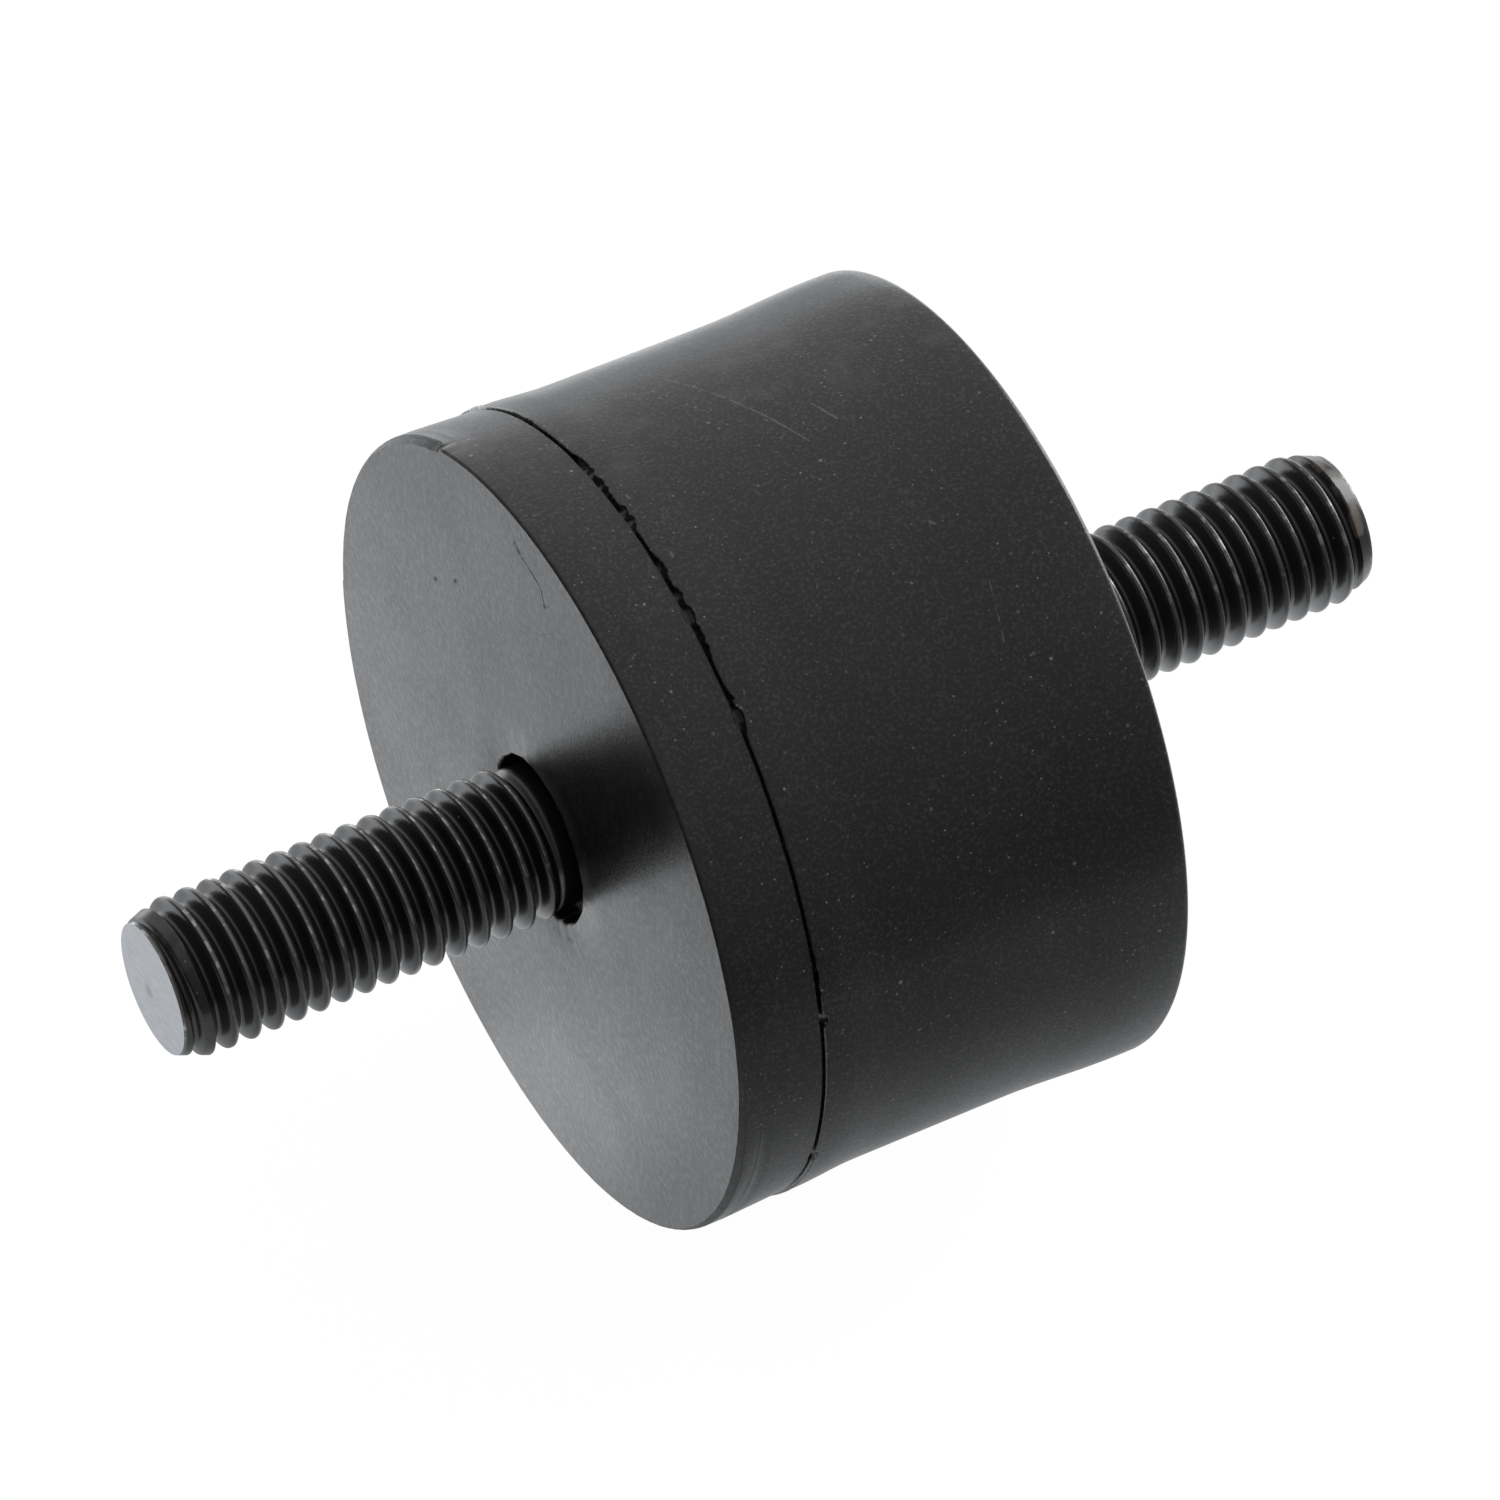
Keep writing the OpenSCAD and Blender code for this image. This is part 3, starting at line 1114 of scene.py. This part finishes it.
@dataclass
class ThreadedStud:
    """A headed stud with a rolled right-hand thread from its shank to its end.

    Attributes:
        end: The end of the buffer that it stands on.
        crest_at: Where a crest crosses the upper side of the stud, as a share of the pitch.
        pitch: Pitch of the thread.
        crest_r: Radius of the thread's crests from the axis.
        crest_round: Radius of the crests' own rounding.
        end_r: Radius of the free end.
        lead_slope: Rise of the lead-in cone on the free end, per length.
        shank_r: Radius of the plain shank under the thread.
        neck_len: Length of plain shank between the end face and the thread.
        head_edge_r: Radius of the head's inner edge.
        steps: Steps of one turn of the thread.
        end_room: How far the free end stays inside the solid's box.
        dent_size: Size of the small dents in the crests.
        dent_depth: Depth of those dents.
        dents_along: How fast the dents change along the axis, per millimetre.
    """

    end: End
    crest_at: float
    pitch: float = 1.5 * MM
    crest_r: float = 4.87 * MM
    crest_round: float = 0.24 * MM
    end_r: float = 4.1 * MM
    lead_slope: float = 0.9 / 2.4
    shank_r: float = 4.5 * MM
    neck_len: float = 1.0 * MM
    head_edge_r: float = 1.0 * MM
    steps: int = 96
    end_room: float = 0.002 * MM
    dent_size: float = 0.9 * MM
    dent_depth: float = 0.02 * MM
    dents_along: float = 7.5

    def __post_init__(self) -> None:
        """Reads the tip, the head and the plate from the solids."""
        name = self.end.name.lower()
        self.node = f"{name}_stud"
        self.way = self.end.value
        low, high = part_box(self.node)
        plate_low, plate_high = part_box(f"{name}_plate")
        self.tip = max(abs(low.x), abs(high.x))
        self.head = min(abs(low.x), abs(high.x))
        self.head_r = high.z
        self.seat = min(abs(plate_low.x), abs(plate_high.x))
        self.plate = max(abs(plate_low.x), abs(plate_high.x))
        self.thread_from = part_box("rubber_body")[1].x + self.neck_len

    def tooth(self, start: float) -> Outline:
        """Draws one pitch of the thread, from one root to the next.

        Args:
            start: Length along X of its first root.

        Returns:
            The section's points.
        """
        height = self.pitch * math.sqrt(3) / 2
        peak = self.crest_r + self.crest_round
        root_round = height / 6
        valley = peak - height + 2 * root_round
        middle, stop = start + self.pitch / 2, start + self.pitch
        rise = arc((start, valley), root_round, 270, 330, 4)
        crest = arc((middle, self.crest_r - self.crest_round), self.crest_round, 150, 30, 6)
        fall = arc((stop, valley), root_round, 210, 270, 4)
        up = between(rise[-1], crest[0], 4)
        down = between(crest[-1], fall[0], 4)
        return rise + up + crest + down + fall

    def trim(self, length: float, radius: float, angle: float) -> tuple[float, float]:
        """Turns the free end's cone, fills the thread's start and runs the thread out at the neck.

        Args:
            length: A vertex's length along X.
            radius: Its radius.
            angle: Its angle.

        Returns:
            Its new length and radius.
        """
        reach = self.way * length
        left = self.tip - reach
        cone = max(self.end_r + left * self.lead_slope, MM)
        filled = min(cone, self.crest_r) - (0.05 + 1.5 * smoothstep(0.2 * MM, 1.2 * MM, left)) * MM
        thread = smoothstep(self.thread_from - 0.6 * MM, self.thread_from + 0.5 * MM, reach)
        dents = ring_noise(angle, radius, self.dent_size, self.dents_along * length / MM)
        battered = self.dent_depth * (1 + dents)
        worn = radius - battered * smoothstep(self.crest_r - 0.15 * MM, self.crest_r, radius)
        turned = max(self.shank_r + (worn - self.shank_r) * thread, filled)
        return length, min(turned, cone)

    def build(self) -> bpy.types.Object:
        """Models the stud.

        Returns:
            The finished piece.
        """
        way = self.way
        first = min(way * self.plate, way * self.tip) - self.pitch
        start = (math.floor(first / self.pitch) + self.crest_at - 0.5) * self.pitch
        turns = math.ceil((self.tip - self.plate) / self.pitch) + 4
        stud = Bench.draw(f"{self.node}_threaded", self.tooth(start))
        Bench.turn(stud, self.steps, self.pitch, turns)
        Bench.close()
        Bench.reshape(stud, self.trim)
        bpy.ops.object.mode_set(mode="EDIT")
        Bench.cut(way * (self.tip - self.end_room), way)
        bpy.ops.mesh.edge_face_add()
        shank_cut = self.plate + 0.15 * MM
        Bench.cut(way * shank_cut, -way)
        Bench.pull(-way * (shank_cut - self.seat))
        Bench.pull(0, self.head_r / self.shank_r)
        Bench.pull(-way * (self.seat - self.head - self.head_edge_r))
        last = self.head_r
        edge = arc((0, self.head_r - self.head_edge_r), self.head_edge_r, 90, 0, 4)
        for here, there in zip(edge, edge[1:]):
            Bench.pull(-way * (there[0] - here[0]), there[1] / last)
            last = there[1]
        bpy.ops.mesh.edge_face_add()
        Bench.close()
        Bench.smooth(stud, 40)
        return stud

    def dress(self, stud: bpy.types.Object, finish: bpy.types.Material) -> None:
        """Gives the stud its finish and its place in the model.

        Args:
            stud: The piece.
            finish: Its material.
        """
        stud.data.materials.append(finish)
        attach(stud, "root")
        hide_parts(self.node)


@dataclass
class EndPlate:
    """A steel disc under the rubber skin, kept as its solid is.

    Attributes:
        end: The end of the buffer that it stiffens.
    """

    end: End

    def dress(self, finish: bpy.types.Material) -> bpy.types.Object:
        """Gives the plate its finish.

        Args:
            finish: Its material.

        Returns:
            The plate's solid.
        """
        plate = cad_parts[f"{self.end.name.lower()}_plate"]
        plate.data.materials.clear()
        plate.data.materials.append(finish)
        return plate


class Ramp(NamedTuple):
    """A smooth rise from 0 at low to 1 at high, along one measure of the paper."""

    measure: str
    low: float
    high: float


@dataclass(frozen=True)
class Glow:
    """How bright the paper is where the object mirrors it.

    Attributes:
        base: Brightness everywhere.
        parts: What is added to it, each with the ramps that bound it.
    """

    base: float
    parts: tuple[tuple[float, tuple[Ramp, ...]], ...]

    def lay(self, sheet: Sheet, measures: dict[str, bpy.types.NodeSocket]) -> object:
        """Adds its nodes to the paper.

        Args:
            sheet: The paper's sheet.
            measures: The measures that its ramps name.

        Returns:
            The brightness.
        """
        level: object = self.base
        for amount, ramps in self.parts:
            inside = [sheet.ease(measures[ramp.measure], ramp.low, ramp.high) for ramp in ramps]
            level = sheet.line(sheet.times(*inside), amount, level)
        return level


# The paper in reflections: brighter from front to back, full at the left, faded by regions, dim far behind
FRONT_TO_BACK = Glow(0.24, ((0.76, (Ramp("depth", -0.05, 0.03),)), (0.4, (Ramp("depth", -0.019, -0.011),))))
AT_LEFT = Glow(0.0, ((1.0, (Ramp("across", -0.004, -0.016),)),))
FADED = Glow(0.42, (
    (0.29, (Ramp("across", -0.035, -0.022),)),
    (0.25, (Ramp("spread", 0.011, 0.003),)),
    (0.08, (Ramp("depth", 0.03, 0.05), Ramp("across", -0.012, -0.022))),
    (0.3, (Ramp("across", 0.016, 0.026),)),
    (0.7, (Ramp("depth", 0.062, 0.08), Ramp("across", 0.012, -0.008))),
))
FAR_BEHIND = Glow(1.0, (
    (-0.66, (Ramp("slanted", -0.026, -0.018), Ramp("slanted", 0.02, 0.012), Ramp("depth", 0.06, 0.12))),
))


@dataclass
class Studio:
    """A pale paper floor in a light tent that is bright at the back and dark at the open front.

    Attributes:
        back: Direction from the object to the camera.
        distance: Distance of the camera from the object's middle.
        lens: Focal length, in millimetres, on a frame 36 mm wide.
        shift: How far the frame is moved, as a share of its width.
        floor_front: Where the paper ends in front of the object.
        floor_back: Where it ends behind it.
        floor_half: Half of its width.
        tent_axis: Direction of the brightest part of the tent.
        tent: Brightness of the tent, from facing away from its brightest part to facing it.
        papers: Tones of the paper's fibres.
        cool: Tint of the paper in reflections.
        bright_spot: Where the paper under the front stud is brightest, along X and Y.
        lamp_at: Place of the lamp.
        lamp_size: Width and height of the lamp.
        lamp_power: Power of the lamp, in watts.
    """

    back: Place = (-0.3386, -0.6108, 0.7157)
    distance: float = 0.5938
    lens: float = 240.0
    shift: tuple[float, float] = (-0.00553, -0.0007)
    floor_front: float = -0.09
    floor_back: float = 0.7
    floor_half: float = 0.6
    tent_axis: Place = (0.0, 0.94, 0.342)
    tent: tuple[tuple[float, float], ...] = (
        (0.0, 0.10), (0.04, 0.12), (0.14, 0.18), (0.34, 0.25), (0.58, 0.29), (0.80, 0.37), (1.0, 0.46))
    papers: tuple[Colour, Colour] = ((0.80, 0.81, 0.82), (0.84, 0.85, 0.86))
    cool: Colour = (0.955, 0.978, 1.0)
    bright_spot: tuple[float, float] = (-0.016, 0.001)
    lamp_at: Place = (0.78, 0.16, 0.26)
    lamp_size: float = 0.5
    lamp_power: float = 2.4

    def __post_init__(self) -> None:
        """Reads the floor's level from the object's box."""
        self.floor_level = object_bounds()[0].z

    def camera(self) -> None:
        """Places the camera at the picture's own angle."""
        Bench.clear()
        bpy.ops.object.camera_add()
        camera = bpy.context.object
        camera.name = "picture_camera"
        away = Vector(self.back).normalized()
        camera.location = away * self.distance
        camera.rotation_euler = (-away).to_track_quat("-Z", "Y").to_euler()
        camera.data.lens = self.lens
        camera.data.sensor_width = 36.0
        camera.data.shift_x, camera.data.shift_y = self.shift
        camera.data.clip_start = 0.01
        bpy.context.scene.camera = camera

    def floor(self) -> None:
        """Lays the paper under the object."""
        Bench.clear()
        bpy.ops.mesh.primitive_plane_add(size=2, location=(0, 0, 0))
        floor = bpy.context.object
        floor.name = "paper_floor"
        bpy.ops.object.mode_set(mode="EDIT")
        bpy.ops.mesh.select_all(action="SELECT")
        deep = (self.floor_back - self.floor_front) / 2
        bpy.ops.transform.resize(value=(self.floor_half, deep, 1))
        bpy.ops.transform.translate(value=(0, (self.floor_back + self.floor_front) / 2, self.floor_level))
        bpy.ops.object.mode_set(mode="OBJECT")
        floor.data.materials.append(self.paper())
        floor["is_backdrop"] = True

    def paper(self) -> bpy.types.Material:
        """Makes the floor's paper: white to the camera with a faint shadow, and uneven in reflections.

        Returns:
            The material.
        """
        material = bpy.data.materials.new("white paper")
        material.use_nodes = True
        sheet = Sheet(material.node_tree)
        out = material.node_tree.nodes["Material Output"]
        material.node_tree.nodes.remove(material.node_tree.nodes["Principled BSDF"])
        path = sheet.add("ShaderNodeLightPath")
        by_camera = path.outputs["Is Camera Ray"]
        place = sheet.add("ShaderNodeTexCoord").outputs["Object"]
        axes = sheet.split(place)
        tone = sheet.mix(sheet.speckle(place, 900.0, 3.0), *self.papers)
        matte = sheet.add("ShaderNodeBsdfDiffuse", {"Color": tone})
        spread = sheet.vector("DISTANCE", place, (*self.bright_spot, self.floor_level)).outputs["Value"]
        slanted = sheet.line(axes["Y"], -0.38, axes["X"])
        measures = {"across": axes["X"], "depth": axes["Y"], "spread": spread, "slanted": slanted}
        lit, left, faded, far = (
            glow.lay(sheet, measures) for glow in (FRONT_TO_BACK, AT_LEFT, FADED, FAR_BEHIND))
        mirrored = sheet.times(sheet.most(lit, left), faded, far)
        mirrors = sheet.most(path.outputs["Is Glossy Ray"], path.outputs["Is Transmission Ray"])
        strength = sheet.most(sheet.times(by_camera, 1.15), sheet.times(mirrors, mirrored))
        tint = sheet.mix(by_camera, self.cool, (1, 1, 1))
        glow = sheet.add("ShaderNodeEmission", {"Color": tint, "Strength": strength})
        blend = sheet.add("ShaderNodeMixShader")
        sheet.feed(sheet.times(sheet.most(by_camera, mirrors), 0.85), blend.inputs[0])
        sheet.feed(matte.outputs[0], blend.inputs[1])
        sheet.feed(glow.outputs[0], blend.inputs[2])
        sheet.feed(blend.outputs[0], out.inputs["Surface"])
        return material

    def lamps(self) -> None:
        """Stands one wide soft lamp to the right of the object."""
        Bench.clear()
        bpy.ops.object.light_add(type="AREA", location=self.lamp_at)
        lamp = bpy.context.object
        lamp.name = "side_soft_lamp"
        lamp.data.shape = "RECTANGLE"
        lamp.data.size = self.lamp_size
        lamp.data.size_y = self.lamp_size
        lamp.data.energy = self.lamp_power
        lamp.rotation_euler = (-lamp.location).to_track_quat("-Z", "Y").to_euler()

    def surroundings(self) -> None:
        """Makes the tent: white to the camera, and shaded from back to front for the light."""
        world = bpy.data.worlds.new("light tent")
        bpy.context.scene.world = world
        world.use_nodes = True
        sheet = Sheet(world.node_tree)
        ground = world.node_tree.nodes["Background"]
        by_camera = sheet.add("ShaderNodeLightPath").outputs["Is Camera Ray"]
        ray = sheet.add("ShaderNodeTexCoord").outputs["Generated"]
        facing = sheet.vector("DOT_PRODUCT", ray, self.tent_axis).outputs["Value"]
        ramp = sheet.add("ShaderNodeValToRGB", {"Fac": sheet.line(facing, 0.5, 0.5)})
        curtain = sheet.line(sheet.ease(sheet.split(ray)["X"], -0.7, -0.15), 0.8, 0.2)
        stops = ramp.color_ramp.elements
        while len(stops) < len(self.tent):
            stops.new(0.5)
        for stop, (place, level) in zip(stops, self.tent):
            stop.position = place
            stop.color = (level, level * 1.005, level * 1.015, 1)
        sheet.feed(sheet.mix(by_camera, ramp.outputs["Color"], (1, 1, 1)), ground.inputs["Color"])
        sheet.feed(sheet.most(by_camera, curtain), ground.inputs["Strength"])

    def build(self) -> None:
        """Sets the whole studio up."""
        self.camera()
        self.floor()
        self.lamps()
        self.surroundings()
        bpy.context.scene.view_settings.view_transform = "Standard"


def main() -> None:
    """Builds and dresses the buffer piece by piece."""
    logging.basicConfig(level=logging.INFO, format="%(name)s: %(message)s")
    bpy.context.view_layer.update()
    Studio().build()
    log.info("studio: camera, paper floor, lamp and tent")
    shelf = Shelf(dust=Effects.dust(), grain=Effects.grain(), scratch=Effects.scratch())
    phosphate = PhosphatedSteel().make(shelf)

    body = RubberBody()
    rubber = MouldedRubber(front=body.front, side_r=body.collar_r).make(shelf)
    moulded = body.build()
    body.dress(moulded, rubber)
    log.info("%s: %d faces", moulded.name, len(moulded.data.polygons))

    for end in End:
        stud = ThreadedStud(end, CREST_AT[end])
        oxide = bpy.data.materials.get(BlackOxide.name)
        if oxide is None:
            oxide = BlackOxide(crest=stud.crest_r, end=stud.end_r, tip=stud.tip).make(shelf)
        threaded = stud.build()
        stud.dress(threaded, oxide)
        log.info("%s: %d faces", threaded.name, len(threaded.data.polygons))
        plate = EndPlate(end).dress(phosphate)
        log.info("%s: kept as its solid", plate.name)


if __name__ == "__main__":
    main()
